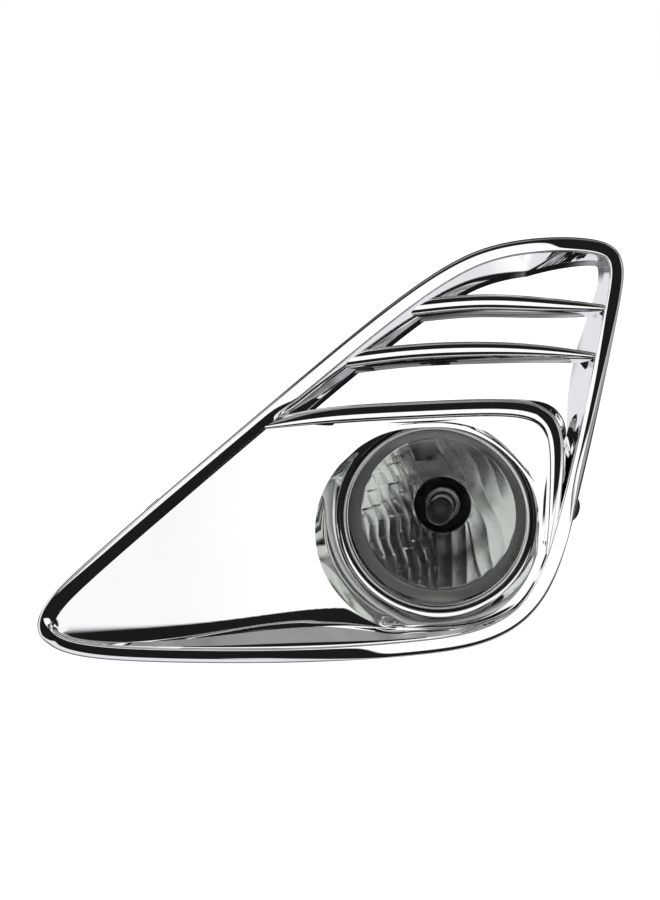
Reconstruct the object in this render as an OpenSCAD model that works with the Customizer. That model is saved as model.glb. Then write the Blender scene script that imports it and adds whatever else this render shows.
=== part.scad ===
// Fog light with a long chrome bezel, millimetres.
// +X points right and +Z up, seen from the front. The lamp shines towards -Y.
// The origin is midway between the two bumper bolts, on the rear faces of the bracket's ears.
// Depths inside the lamp are counted along +Y from the rim of the front lens.

/* [Bezel] */
// Angle that the bezel's face leans back
face_lean = 11; // [10:0.5:12]
// Angle that the bezel's face turns towards +X
face_turn = 7; // [6:0.5:8]
// Wall thickness of the moulding
shell_t = 2.2; // [1.8:0.1:2.6]
// Width of the rounded bead along the edge
bead_w = 7.4; // [6.8:0.1:8]
// Depth of the skirt behind the bead
skirt_depth = 14; // [12:1:16]
// Depth of the louver cell's wall
cell_depth = 20; // [18:1:22]
// How far the face stands in front of the lens rim
face_front = 20; // [19:0.5:21]

/* [Lamp] */
// Radius of the front lens
lens_r = 44.75; // [44.5:0.05:45]
// Depth of the bracket's ears behind the lens rim
ear_depth = 38; // [38:0.5:40]
// Radius of the round lip of the bowl
lip_r = 46.8; // [46.7:0.05:47]
// Focal length of the reflector
focal_length = 15; // [14.5:0.1:15.5]
// Depth of the filament behind the lens rim
focus_depth = 22.4; // [22:0.1:23]

/* [Fixing and aiming] */
// Distance from the optical axis to each bumper bolt
bolt_circle_r = 59; // [59:0.5:62]
// Radius of the bolt sleeves' holes, for M5 bolts
bolt_hole_r = 2.75; // [2.6:0.05:2.9]
// Depth of the tilt axis behind the lens rim
pivot_depth = 24; // [23.5:0.1:24.5]
// Radius of the pivot pins
pivot_pin_r = 3; // [2.5:0.1:3.2]
// Distance of the aim screw below the optical axis
adjuster_drop = 53; // [53:0.5:54]
// Radius of the aim screw
adjuster_r = 2.5; // [2.3:0.1:2.6]
// Turn from the bulb's locked position to the notches, degrees
bulb_unlock_angle = 35; // [33:1:38]

/* [Hidden] */
$fn = 72;
running_gap = 0.05;
eps = 0.01;

// Control points of the bezel's outline, [x, z] in the bezel's frame, clockwise from the left tip.
outline_ctrl = [
    [-194, -53], [-189, -41], [-178, -29], [-140, 4], [-80, 55], [-36, 92], [-9, 113], [15, 128],
    [37, 134], [60, 136], [78, 135], [88, 131], [92, 121], [89, 104], [80, 60], [66, 0],
    [58, -28], [45, -49], [22, -61], [-8, -65], [-60, -69], [-140, -69], [-172, -67], [-187, -62]
];
outline_steps = 3;
// Outline position, in control points, where the brow leaves the diagonal edge.
brow_start = 4;
// Outline position, in control points, where the brow joins the right edge.
brow_end = 15 + 2 / 3;

// Control points of the blades' centre lines, [x, z] in the bezel's frame.
brow_ctrl = [
    [-82, 45], [-54, 50], [-12, 52], [30, 54], [47, 52], [56, 45], [58, 32], [57, 13], [56, -2], [54, -17]
];
louver_upper_ctrl = [[-13, 100], [20, 104], [54, 102], [82, 101]];
louver_lower_ctrl = [[-45, 75], [-10, 80], [40, 81], [76, 78]];

// Cross-section of a louver blade: [height, depth behind the face], front from top to bottom.
blade_front = [[4.8, 8], [4, 4.5], [2.6, 2.6], [0, 2], [-2.6, 2.6], [-3.6, 4], [-5, 8], [-6.2, 14]];
blade_back = [[-5, 15], [-3, 10.5], [-1, 7.5], [2.6, 8.8], [3.6, 10]];
// Cross-section of the brow: [distance towards the lamp, depth behind the face].
brow_front = [[-4, 14], [-4.2, 6], [-3.2, 2.4], [-1, 0.8], [2, 0.9], [3.6, 2], [4.2, 4], [3.8, 6]];
brow_back = [[2.2, 6], [0.5, 4.6], [-1.6, 6], [-2.2, 14]];

bowl_centre = [-3.8, -5.3];
bowl_radii = [54.2, 50.4];
ridge_depth = 3;
collar_end = 13;

ear_angles = [0, 180];
boss_angles = [60, 150, 300];
boss_circle_r = 57;
ring_inner_r = 48.5;
ring_outer_r = 50.7;
flange_depth = 17;
wall_depth = 50;
tip_depth = 12;
bulb_r = 6;
tab_positions = [3, 5.5, 9, 13, 19.5, 21];
clip_positions = [3, 9, 21];

// ---------------------------------------------------------------- curves and meshes

// A point of a uniform cubic B-spline span through control points a, b, c and d.
function spline_point(a, b, c, d, t) =
    (pow(1 - t, 3) * a + (3 * pow(t, 3) - 6 * t * t + 4) * b
        + (-3 * pow(t, 3) + 3 * t * t + 3 * t + 1) * c + pow(t, 3) * d) / 6;

// A point of the closed spline of control points p at position t, in control points.
function closed_spline(p, t) =
    let (n = len(p), k = floor(t), f = t - k)
    spline_point(p[(k + n - 1) % n], p[(k + n) % n], p[(k + 1) % n], p[(k + 2) % n], f);

// A point of the open spline that starts at the first control point and ends at the last.
function open_spline(p, t) =
    let (
        n = len(p),
        q = concat([2 * p[0] - p[1]], p, [2 * p[n - 1] - p[n - 2]]),
        k = min(floor(t), n - 2)
    )
    spline_point(q[k], q[k + 1], q[k + 2], q[k + 3], t - k);

function unit(v) = v / norm(v);
function turned_right(v) = [v.y, -v.x];
function closed_normal(p, t) =
    unit(turned_right(closed_spline(p, t + 0.02) - closed_spline(p, t - 0.02 + len(p))));
function open_normal(p, t) =
    let (a = max(0, t - 0.02), b = min(len(p) - 1, t + 0.02))
    unit(turned_right(open_spline(p, b) - open_spline(p, a)));

// A closed solid over rings of equal length. Each ring runs along the front and back along the rear.
module ring_solid(rings, closed = false) {
    count = len(rings);
    size = len(rings[0]);
    half = size / 2;
    last = closed ? count - 1 : count - 2;
    sides = [
        for (i = [0 : last], j = [0 : size - 1], side = [0, 1])
            let (
                a = i * size + j,
                b = i * size + (j + 1) % size,
                c = ((i + 1) % count) * size + (j + 1) % size,
                d = ((i + 1) % count) * size + j
            )
            side == 0 ? [a, c, b] : [a, d, c]
    ];
    caps = closed ? [] : [
        for (end = [0, count - 1], j = [0 : half - 2], side = [0, 1])
            let (
                a = end * size + j,
                b = end * size + j + 1,
                c = end * size + size - 2 - j,
                d = end * size + size - 1 - j,
                tri = side == 0 ? [a, b, c] : [a, c, d]
            )
            end == 0 ? tri : [tri[0], tri[2], tri[1]]
    ];
    points = [for (ring = rings) each ring];
    polyhedron(points, concat(sides, caps), convexity = 10);
}

// Rings that thicken a grid of rows by t. The grid's columns run towards the inside of the bezel.
function thickened(grid, t, closed) =
    let (n = len(grid), m = len(grid[0]))
    [
        for (i = [0 : n - 1])
            let (
                before = closed ? grid[(i + n - 1) % n] : grid[max(0, i - 1)],
                after = closed ? grid[(i + 1) % n] : grid[min(n - 1, i + 1)],
                rear = [
                    for (j = [m - 1 : -1 : 0])
                        let (
                            along = after[j] - before[j],
                            across = grid[i][min(m - 1, j + 1)] - grid[i][max(0, j - 1)]
                        )
                        grid[i][j] + t * unit(cross(along, across))
                ]
            )
            concat(grid[i], rear)
    ];

// ---------------------------------------------------------------- the bezel's frame

module in_bezel_frame() {
    translate([0, -ear_depth, 0]) rotate([-face_lean, 0, face_turn]) children();
}

// A point of the lamp, given by its depth behind the lens rim, in the bezel's frame.
function to_bezel(x, depth, z) =
    let (
        across = x * cos(face_turn) + depth * sin(face_turn),
        back = depth * cos(face_turn) - x * sin(face_turn)
    )
    [across, back * cos(face_lean) - z * sin(face_lean), back * sin(face_lean) + z * cos(face_lean)];

// The crowned face that the bead follows. It falls back further at the left tip.
function face_y(p) =
    -face_front + 0.001 * pow(p.x + 50, 2) + 0.0006 * pow(p.y - 20, 2) + 0.039 * pow(max(0, -184 - p.x), 2);

// The point u inside the outline and v behind the face, at outline position t.
function rim_point(t, u, v) =
    let (edge = closed_spline(outline_ctrl, t), p = edge + u * closed_normal(outline_ctrl, t))
    [p.x, face_y(p) + v, p.y];

// The point u towards the lamp from the brow's centre line and v behind the face.
function brow_size(t) = 1 - 0.5 * pow(max(0, t - 4.5) / 4.5, 1.5) - 0.5 * pow(max(0, 1.5 - t) / 1.5, 2);
function brow_point(t, u, v) =
    let (
        edge = open_spline(brow_ctrl, t),
        flare = u < -3.5 && v > 10 ? -4 * exp(-pow((t - 4.8) / 1, 2)) : 0,
        p = edge + (u * brow_size(t) + flare) * open_normal(brow_ctrl, t)
    )
    [p.x, face_y(edge) + v, p.y];

// ---------------------------------------------------------------- bezel

bead_front = [[0, skirt_depth], [0, 3], [0.9, 0.1], [2.6, -1.3], [4.6, -1.4], [6.3, -0.3], [bead_w, 1.5]];
bead_back = [
    [bead_w - 1, 3.2], [5, 1.6], [3.6, 1.3], [2.4, 2.6], [shell_t, 5], [shell_t, 9], [shell_t, skirt_depth]
];

// The rounded bead and the skirt behind it, all round the bezel.
module bezel_rim() {
    color("silver") in_bezel_frame()
        ring_solid([
            for (i = [0 : len(outline_ctrl) * outline_steps - 1])
                [for (p = concat(bead_front, bead_back)) rim_point(i / outline_steps, p.x, p.y)]
        ], closed = true);
}

// Width and depth of the step from the bead down to the panel.
// It swells under the panel, left of the bowl, where the panel is sunk most.
function bottom_share(t) = pow(max(0, closed_normal(outline_ctrl, t).y), 3);
function swell(t) = bottom_share(t) * exp(-pow((closed_spline(outline_ctrl, t).x + 62) / 58, 2));
function step_width(t) = 0.9 + 8.7 * swell(t);
function step_depth(t) = 1.5 + 6.4 * swell(t);

// Rows from the bead down to the foot of the step, clockwise from the brow's right end.
// Each row's last item is the point of the edge that it starts from.
function rim_steps() = [
    for (k = [0 : (len(outline_ctrl) - brow_end + brow_start) * outline_steps])
        let (t = brow_end + k / outline_steps)
        [
            rim_point(t, bead_w - 0.7, 1.7),
            rim_point(t, bead_w + step_width(t) / 2, 1.5 + step_depth(t) / 2),
            rim_point(t, bead_w + step_width(t), 1.5 + step_depth(t)),
            closed_spline(outline_ctrl, t)
        ]
];
brow_steps_per_point = 2;
function brow_edge_steps() = [
    for (k = [2 : (len(brow_ctrl) - 1) * brow_steps_per_point - 1])
        let (t = k / brow_steps_per_point)
        [brow_point(t, 3, 3.4), brow_point(t, 4, 4.2), brow_point(t, 5.2, 4.6), open_spline(brow_ctrl, t)]
];

// A point of the ridge round the bowl, in the direction of an edge point from the bowl's centre.
// The ridge stays about 2 mm inside the foot of the step.
function ridge_point(edge, foot) =
    let (
        angle = atan2((edge.y - bowl_centre.y) / bowl_radii.y, (edge.x - bowl_centre.x) / bowl_radii.x),
        ring = [bowl_radii.x * cos(angle), bowl_radii.y * sin(angle)],
        away = norm([foot.x, foot.z] - bowl_centre),
        room = (away - 2) / norm(ring),
        share = -ln(exp(-30) + exp(-30 * room)) / 30,
        q = bowl_centre + share * ring
    )
    [q.x, face_y(q) + ridge_depth, q.y];

// A point of the bowl's round lip, in the direction of an edge point from the bowl's centre.
function lip_point(edge, depth, r = lip_r) =
    let (angle = atan2(edge.y - bowl_centre.y, edge.x - bowl_centre.x))
    to_bezel(r * cos(angle), depth, r * sin(angle));

// The panel rises from the foot of the step to the face within fillet_reach.
fillet_reach = 28;
function panel_rows(foot, edge) =
    let (ridge = ridge_point(edge, foot), way = norm(ridge - foot), reach = min(fillet_reach, way))
    [
        for (distance = [5, 12, 26])
            let (
                s = distance / max(way, 32),
                flat = foot + s * (ridge - foot),
                q = [flat.x, flat.z],
                rise = pow(max(0, 1 - s * way / reach), 2)
            )
            [
                flat.x,
                face_y(q) + ridge_depth + rise * (foot.y - face_y([foot.x, foot.z]) - ridge_depth),
                flat.z
            ]
    ];

function bowl_rows(foot, edge) =
    let (
        ridge = ridge_point(edge, foot),
        lip = lip_point(edge, 2),
        bulge = min(2, 0.15 * max(0, lip.y - ridge.y)) * to_bezel(0, 1, 0)
    )
    [
        ridge,
        ridge + 0.3 * (lip - ridge) + bulge,
        ridge + 0.65 * (lip - ridge) + 0.75 * bulge,
        lip,
        lip_point(edge, collar_end)
    ];

// The triangular panel, the bowl that narrows to the lens, and the collar behind the bowl's lip.
module bezel_panel() {
    grid = [
        for (row = concat(rim_steps(), brow_edge_steps()))
            let (foot = row[2], edge = row[3])
            concat([row[0], row[1], foot], panel_rows(foot, edge), bowl_rows(foot, edge))
    ];
    color("silver") in_bezel_frame() ring_solid(thickened(grid, shell_t, true), closed = true);
}

// Inner wall of the louver cell. It leans in under the top and the diagonal edge.
// It is shallow and upright beside the lamp.
function beside_lamp(t) = let (s = max(0, min(1, (t - 13.4) / 1.6))) s * s * (3 - 2 * s);
function wall_lean(t) =
    let (fade = max(0, min(1, (82 - closed_spline(outline_ctrl, t).x) / 40)))
    2 + 6 * fade * max(0, -closed_normal(outline_ctrl, t).y) - beside_lamp(t);
function wall_toe(t) =
    let (
        slope = 8 * pow(max(0, -closed_normal(outline_ctrl, t).x), 2),
        low = max(0, min(1, (110 - closed_spline(outline_ctrl, t).y) / 55))
    )
    (2 + slope * low) * (1 - beside_lamp(t));
function wall_end(t) = cell_depth - 9 * beside_lamp(t);

module louver_cell_wall() {
    first = brow_start - 0.4;
    grid = [
        for (k = [0 : (brow_end - first) * outline_steps])
            let (t = first + k / outline_steps, lean = wall_lean(t), toe = wall_toe(t), end = wall_end(t))
            [
                rim_point(t, bead_w - 1.1, 1.3),
                rim_point(t, bead_w + lean * 0.6, 4.6),
                rim_point(t, bead_w + lean, 8),
                rim_point(t, bead_w + lean + toe / 2, (8 + end) / 2),
                rim_point(t, bead_w + lean + toe, end)
            ]
    ];
    color("silver") in_bezel_frame() ring_solid(thickened(grid, shell_t * 0.8, false));
}

blade_top = [for (p = [[-0.6, 1.4], [-0.2, 0.8], [0, 0.4]]) blade_front[0] + p];

// A blade of the given section, thinner towards its right end.
module blade(ctrl) {
    steps = 4;
    ring_solid([
        for (i = [0 : (len(ctrl) - 1) * steps])
            let (
                t = i / steps,
                mid = open_spline(ctrl, t),
                thin = 1 - 0.55 * pow(max(0, t - 1.2) / 1.8, 2)
            )
            [
                for (p = concat(blade_front, blade_back, blade_top))
                    [mid.x, face_y(mid) + p.y, mid.y + p.x * thin]
            ]
    ]);
}

module louver_upper() {
    color("silver") in_bezel_frame() blade(louver_upper_ctrl);
}

module louver_lower() {
    color("silver") in_bezel_frame() blade(louver_lower_ctrl);
}

module brow_louver() {
    steps = 4;
    color("silver") in_bezel_frame()
        ring_solid([
            for (i = [0 : (len(brow_ctrl) - 1) * steps])
                [
                    for (p = concat(brow_front, brow_back, [[-2.6, 14], [-3, 14], [-3.4, 14], [-3.8, 14]]))
                        brow_point(i / steps, p.x, p.y)
                ]
        ]);
}

// Turns +Y along the outline's inward normal and puts the origin on the outline.
module at_outline(t) {
    edge = closed_spline(outline_ctrl, t);
    inward = closed_normal(outline_ctrl, t);
    translate([edge.x, face_y(edge), edge.y]) rotate([0, 90 - atan2(inward.y, inward.x), 0]) children();
}

tab_end = 27;
tab_inset = 1.4;
tab_t = 2;

// Tabs that snap into the bumper, moulded on the skirt.
module snap_tabs() {
    color("silver") in_bezel_frame()
        for (t = tab_positions)
            at_outline(t) {
                translate([-5, 6, tab_inset]) cube([10, tab_end - 6, tab_t]);
                translate([-6.5, 6, tab_inset]) cube([1.5, 8, tab_t + 2]);
                translate([5, 6, tab_inset]) cube([1.5, 8, tab_t + 2]);
            }
}

// Sheet-steel clips pushed over three of the tabs.
module spring_clips() {
    clip_t = 0.6;
    clip_w = 8;
    clip_start = 17;
    color("dimgray") in_bezel_frame()
        for (t = clip_positions)
            at_outline(t)
                translate([clip_w / 2, 0, 0]) rotate([0, -90, 0])
                    linear_extrude(clip_w)
                        polygon([
                            [tab_inset, clip_start], [tab_inset, tab_end],
                            [tab_inset + tab_t, tab_end], [tab_inset + tab_t, clip_start],
                            [tab_inset + tab_t + 2, clip_start + 3], [tab_inset + tab_t + clip_t, tab_end - 4],
                            [tab_inset + tab_t + clip_t, tab_end + clip_t],
                            [tab_inset - clip_t, tab_end + clip_t],
                            [tab_inset - clip_t, tab_end - 4], [tab_inset - 2, clip_start + 3]
                        ]);
}

// ---------------------------------------------------------------- lamp frame helpers

// Places children at a depth behind the lens rim.
module at_depth(depth) {
    translate([0, depth - ear_depth, 0]) children();
}

// A solid of revolution about the optical axis from [radius, depth] points.
module turned(profile) {
    at_depth(0) rotate([-90, 0, 0]) rotate_extrude() polygon(profile);
}

// A rod along +Y from one depth to another.
module rod(r, from, to, x = 0, z = 0) {
    at_depth(from) translate([x, 0, z]) rotate([-90, 0, 0]) cylinder(r = r, h = to - from);
}

// A hexagonal rod along +Y, given by its width across the flats.
module hex_rod(flats, from, to, x = 0, z = 0) {
    at_depth(from) translate([x, 0, z]) rotate([-90, 0, 0])
        cylinder(d = flats / cos(30), h = to - from, $fn = 6);
}

// Turns children about the optical axis.
module turned_by(angle) {
    rotate([0, -angle, 0]) children();
}

// ---------------------------------------------------------------- bracket and fasteners

boss_r = 4;
boss_start = 8.5;
screw_r = 1.8;

// Towers on the bowl's collar that take the bracket's screws.
module screw_bosses() {
    color("silver")
        for (angle = boss_angles)
            turned_by(angle)
                difference() {
                    union() {
                        rod(boss_r, boss_start, flange_depth, x = boss_circle_r);
                        at_depth(boss_start) translate([lip_r + 1.2, 0, -1.5])
                            cube([8, collar_end - boss_start, 3]);
                    }
                    rod(screw_r, boss_start + 1.5, flange_depth + eps, x = boss_circle_r);
                }
}

flange_t = 3;

module bracket_screws() {
    head_start = flange_depth + flange_t;
    color("dimgray")
        for (angle = boss_angles)
            turned_by(angle)
                difference() {
                    union() {
                        rod(screw_r, boss_start + 2, head_start + eps, x = boss_circle_r);
                        rod(3.6, head_start, head_start + 0.8, x = boss_circle_r);
                        hex_rod(5.5, head_start + 0.8, head_start + 3.4, x = boss_circle_r);
                    }
                    rod(1.2, head_start + 2, head_start + 3.5, x = boss_circle_r);
                }
}

ear_t = 4;
ear_r = 8;
// The ears stand proud of the ring's rear edge.
ring_end = ear_depth - 1;
sleeve_r = 4;
hub_r = 6.5;
bush_r = 4.5;
hub_start = 48.5;
hub_end = 55;
adjuster_journal_r = adjuster_r - 0.5;
bearing_w = 9.2;

module lamp_bracket() {
    color([0.06, 0.06, 0.065])
        difference() {
            union() {
                turned([
                    [ring_inner_r, flange_depth], [ring_outer_r + 1, flange_depth],
                    [ring_outer_r + 1, flange_depth + flange_t], [ring_outer_r, flange_depth + flange_t],
                    [ring_outer_r, ear_depth - ear_t], [ring_outer_r + 1, ear_depth - ear_t],
                    [ring_outer_r + 1, ring_end], [ring_inner_r, ring_end]
                ]);
                for (angle = boss_angles)
                    turned_by(angle) {
                        rod(boss_r + 1, flange_depth, flange_depth + flange_t, x = boss_circle_r);
                        at_depth(flange_depth) translate([ring_outer_r + 0.3, 0, -boss_r])
                            cube([boss_circle_r - ring_outer_r - 0.3, flange_t, 2 * boss_r]);
                    }
                for (angle = ear_angles)
                    turned_by(angle) {
                        rod(ear_r, ear_depth - ear_t, ear_depth, x = bolt_circle_r);
                        at_depth(ear_depth - ear_t) translate([ring_outer_r - 1, 0, -ear_r - 1])
                            cube([bolt_circle_r - ring_outer_r - 2, ear_t, 2 * ear_r + 2]);
                        for (z = [-ear_r - 0.5, ear_r - 1.1])
                            at_depth(flange_depth + 1) translate([ring_outer_r - 1, 0, z])
                                cube([3.5, ear_depth - ear_t - flange_depth, 1.6]);
                    }
                for (side = [0, 180])
                    turned_by(side) at_depth(pivot_depth) translate([hub_start, 0, 0]) rotate([0, 90, 0])
                        cylinder(r = hub_r, h = hub_end - hub_start);
                // Front and rear bearings of the aim screw.
                for (bearing = [[flange_depth, flange_t], [ear_depth - ear_t, ear_t - 1]])
                    at_depth(bearing[0]) translate([-bearing_w / 2, 0, -adjuster_drop - 6])
                        cube([bearing_w, bearing[1], adjuster_drop + 6 - ring_inner_r + 0.6]);
            }
            for (angle = boss_angles)
                turned_by(angle)
                    rod(screw_r + 0.2, flange_depth - 1, flange_depth + flange_t + 1, x = boss_circle_r);
            for (angle = ear_angles)
                turned_by(angle) rod(sleeve_r, ear_depth - ear_t - 1, ear_depth + 1, x = bolt_circle_r);
            for (side = [0, 180])
                turned_by(side) at_depth(pivot_depth) translate([hub_start - 2, 0, 0]) rotate([0, 90, 0])
                    cylinder(r = bush_r, h = hub_end - hub_start + 4);
            // Window in the ring that the nut and the housing's fork reach through.
            at_depth(flange_depth + flange_t) translate([-12, 0, -adjuster_drop - 2])
                cube([24, ear_depth - ear_t - flange_depth - flange_t, 10]);
            // The ring is open at the top, behind its front hoop.
            at_depth(flange_depth + flange_t) translate([-30, 0, 35]) cube([60, ear_depth, 30]);
            rod(adjuster_journal_r + running_gap, flange_depth - 1, flange_depth + flange_t + 1,
                z = -adjuster_drop);
            rod(adjuster_r + running_gap, ear_depth - ear_t - 1, ear_depth + 1, z = -adjuster_drop);
        }
}

module ear_sleeves() {
    color("lightgray")
        for (angle = ear_angles)
            turned_by(angle)
                difference() {
                    rod(sleeve_r, ear_depth - ear_t, ear_depth, x = bolt_circle_r);
                    rod(bolt_hole_r, ear_depth - ear_t - 1, ear_depth + 1, x = bolt_circle_r);
                }
}

// Nylon bushes with a thrust collar on the inside.
module pivot_bushes() {
    collar_t = 0.8;
    color("ivory")
        for (side = [0, 180])
            turned_by(side) at_depth(pivot_depth) translate([hub_start - collar_t, 0, 0]) rotate([0, 90, 0])
                rotate_extrude()
                    polygon([
                        [pivot_pin_r + running_gap, 0], [hub_r - 0.5, 0], [hub_r - 0.5, collar_t],
                        [bush_r, collar_t], [bush_r, hub_end - hub_start + collar_t],
                        [pivot_pin_r + running_gap, hub_end - hub_start + collar_t]
                    ]);
}

// ---------------------------------------------------------------- lamp head

seat_depth = 13.5;
body_r = 44.5;
body_end = 31;
rear_r = 24;
rear_end = 54;
pin_start = 42.8;
pin_boss_end = 47.2;
fork_x = 5.6;
fork_t = 2.5;
fork_w = 7;
trunnion_r = 2;
nut_depth = 27;
vent_z = 36;
bore_r = 11;

module lamp_housing() {
    wall = 2;
    color([0.09, 0.09, 0.1])
        difference() {
            union() {
                turned([
                    [0, seat_depth], [45.6, seat_depth], [45.6, 16.8], [pin_boss_end, 17.2],
                    [pin_boss_end, 18.8], [body_r, 20.5], [body_r, body_end],
                    [body_r - 3, body_end + 4], [rear_r + 6, wall_depth - 3], [rear_r, wall_depth],
                    [rear_r, rear_end], [0, rear_end]
                ]);
                for (side = [0, 180])
                    turned_by(side) at_depth(pivot_depth) translate([body_r - 1.5, 0, 0]) rotate([0, 90, 0])
                        cylinder(r = hub_r, h = pin_boss_end - body_r + 1.5);
                // Fork arms that the aim nut's trunnions ride in.
                for (x = [-fork_x - fork_t, fork_x])
                    at_depth(nut_depth - fork_w / 2) translate([x, 0, -adjuster_drop - 4])
                        cube([fork_t, fork_w, adjuster_drop + 4 - body_r + 2]);
                rod(3, 36, 49, z = vent_z);
                for (angle = [45 : 90 : 315])
                    turned_by(angle) at_depth(body_end) translate([rear_r - 2, 0, -0.8]) cube([14, 12, 1.6]);
            }
            turned([
                [0, seat_depth - 1], [body_r - wall, seat_depth - 1], [body_r - wall, body_end],
                [body_r - wall - 3, body_end + 3], [rear_r + 4, wall_depth - 4], [rear_r - 2, wall_depth],
                [0, wall_depth]
            ]);
            rod(1.5, 30, 50, z = vent_z);
            rod(bore_r, wall_depth - 1, rear_end + 1);
            for (angle = [0, 120, 240])
                turned_by(angle + bulb_unlock_angle) at_depth(wall_depth - 1) translate([0, 0, -4.1])
                    cube([14.6, rear_end - wall_depth + 2, 8.2]);
            for (side = [0, 180])
                turned_by(side) at_depth(pivot_depth) translate([pin_start, 0, 0]) rotate([0, 90, 0])
                    cylinder(r = pivot_pin_r, h = 10);
            at_depth(nut_depth - trunnion_r - 0.3) translate([-20, 0, -adjuster_drop - 5])
                cube([40, 2 * trunnion_r + 0.6, 7.6]);
        }
}

module pivot_pins() {
    color("silver")
        for (side = [0, 180])
            turned_by(side) at_depth(pivot_depth) translate([pin_start, 0, 0]) rotate([0, 90, 0])
                rotate_extrude()
                    polygon([
                        [0, 0], [pivot_pin_r, 0], [pivot_pin_r, hub_end - pin_start + 0.5],
                        [pivot_pin_r - 0.6, hub_end - pin_start + 1.1], [0, hub_end - pin_start + 1.1]
                    ]);
}

module vent_boot() {
    color([0.04, 0.04, 0.04])
        at_depth(0) translate([0, 0, vent_z]) rotate([-90, 0, 0]) rotate_extrude()
            polygon([
                [3, 42], [4.6, 42], [5.2, 43], [5.2, 45], [4.6, 46], [4.6, 52], [3.6, 53.4], [0, 53.4],
                [0, 51.5], [1.5, 51.5], [1.5, 49], [3, 49]
            ]);
}

hole_r = 14;
window_r = 37.5;
function reflector_depth(r) = focus_depth + focal_length - r * r / (4 * focal_length);

module reflector() {
    t = 1.5;
    radii = [for (k = [0 : 12]) hole_r + (window_r - hole_r) * k / 12];
    rim = reflector_depth(window_r);
    color("gainsboro")
        turned(concat(
            [for (r = radii) [r, reflector_depth(r)]],
            [[body_r - 2.4, rim], [body_r - 2.4, rim + t], [window_r + 1.5, rim + t]],
            [for (k = [11 : -1 : 0]) [radii[k] + 0.8, reflector_depth(radii[k]) + t]]
        ));
}

// Domed front glass with a skirt that sits on the housing's seal.
module lens() {
    dome = 2;
    glass_t = 3;
    flat_r = lens_r - 1.2;
    steps = 10;
    color("lightcyan", 0.4)
        turned(concat(
            [for (k = [0 : steps]) [flat_r * k / steps, -dome * (1 - pow(k / steps, 2))]],
            [[lens_r - 0.3, 0.5], [lens_r, 1.4], [lens_r, 12.5], [lens_r - 3, 12.5], [lens_r - 3, 5]],
            [for (k = [steps - 1 : -1 : 0]) [flat_r * k / steps, glass_t - dome * (1 - pow(k / steps, 2))]]
        ));
}

module lens_seal() {
    color([0.05, 0.05, 0.05])
        turned([
            [lens_r - 3.4, 12.5], [lens_r, 12.5], [lens_r + 0.3, 13], [lens_r, seat_depth],
            [lens_r - 2, seat_depth], [lens_r - 3.4, 13.2]
        ]);
}

// ---------------------------------------------------------------- aim adjuster

thread_pitch = 1.25;
screw_front = 14.4;
retainer_depth = 15.7;
thread_start = 20.3;
thread_end = 33.6;
head_start = ring_end + 0.5;

// The thread is a stack of ring grooves, one for each turn.
module adjuster_screw() {
    turns = floor((thread_end - thread_start) / thread_pitch);
    crest = adjuster_r;
    root = adjuster_r - 0.4;
    color("goldenrod") {
        at_depth(0) translate([0, 0, -adjuster_drop]) rotate([-90, 0, 0]) rotate_extrude()
            polygon(concat(
                [[0, screw_front], [adjuster_journal_r - 0.4, screw_front], [adjuster_journal_r, screw_front + 0.4]],
                [[adjuster_journal_r, thread_start]],
                [
                    for (k = [0 : turns - 1], step = [0, 1])
                        [step == 0 ? crest : root, thread_start + (k + step * 0.5) * thread_pitch]
                ],
                [[crest, thread_end], [crest, head_start + 0.2], [0, head_start + 0.2]]
            ));
        rod(5.5, head_start, head_start + 1, z = -adjuster_drop);
        hex_rod(8, head_start + 1, head_start + 5, z = -adjuster_drop);
    }
}

module adjuster_retainer() {
    color("dimgray")
        difference() {
            rod(4.5, retainer_depth, retainer_depth + 1, z = -adjuster_drop);
            rod(adjuster_journal_r, retainer_depth - 1, retainer_depth + 2, z = -adjuster_drop);
            for (angle = [0 : 60 : 300])
                translate([0, 0, -adjuster_drop]) turned_by(angle)
                    rod(0.5, retainer_depth - 1, retainer_depth + 2, x = adjuster_journal_r + 0.3);
        }
}

module adjuster_nut() {
    half_length = 3;
    color("white")
        difference() {
            union() {
                at_depth(nut_depth - half_length) translate([-4.9, 0, -adjuster_drop - 4.2])
                    cube([9.8, 2 * half_length, 8.4]);
                at_depth(nut_depth) translate([-fork_x - fork_t - 0.4, 0, -adjuster_drop]) rotate([0, 90, 0])
                    cylinder(r = trunnion_r, h = 2 * (fork_x + fork_t + 0.4));
            }
            rod(adjuster_r + running_gap, nut_depth - 5, nut_depth + 5, z = -adjuster_drop);
        }
}

// ---------------------------------------------------------------- bulb

base_r = 8.5;
neck_r = bore_r - 0.4;
groove_start = 51;
groove_end = 52.6;
groove_r = 9.6;
knob_start = rear_end + 0.5;
knob_r = 15.5;
knob_t = 3;
plug_start = 60;
plug_size = [18, 14];
socket_end = -30;
plug_wall = 1.8;

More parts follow.
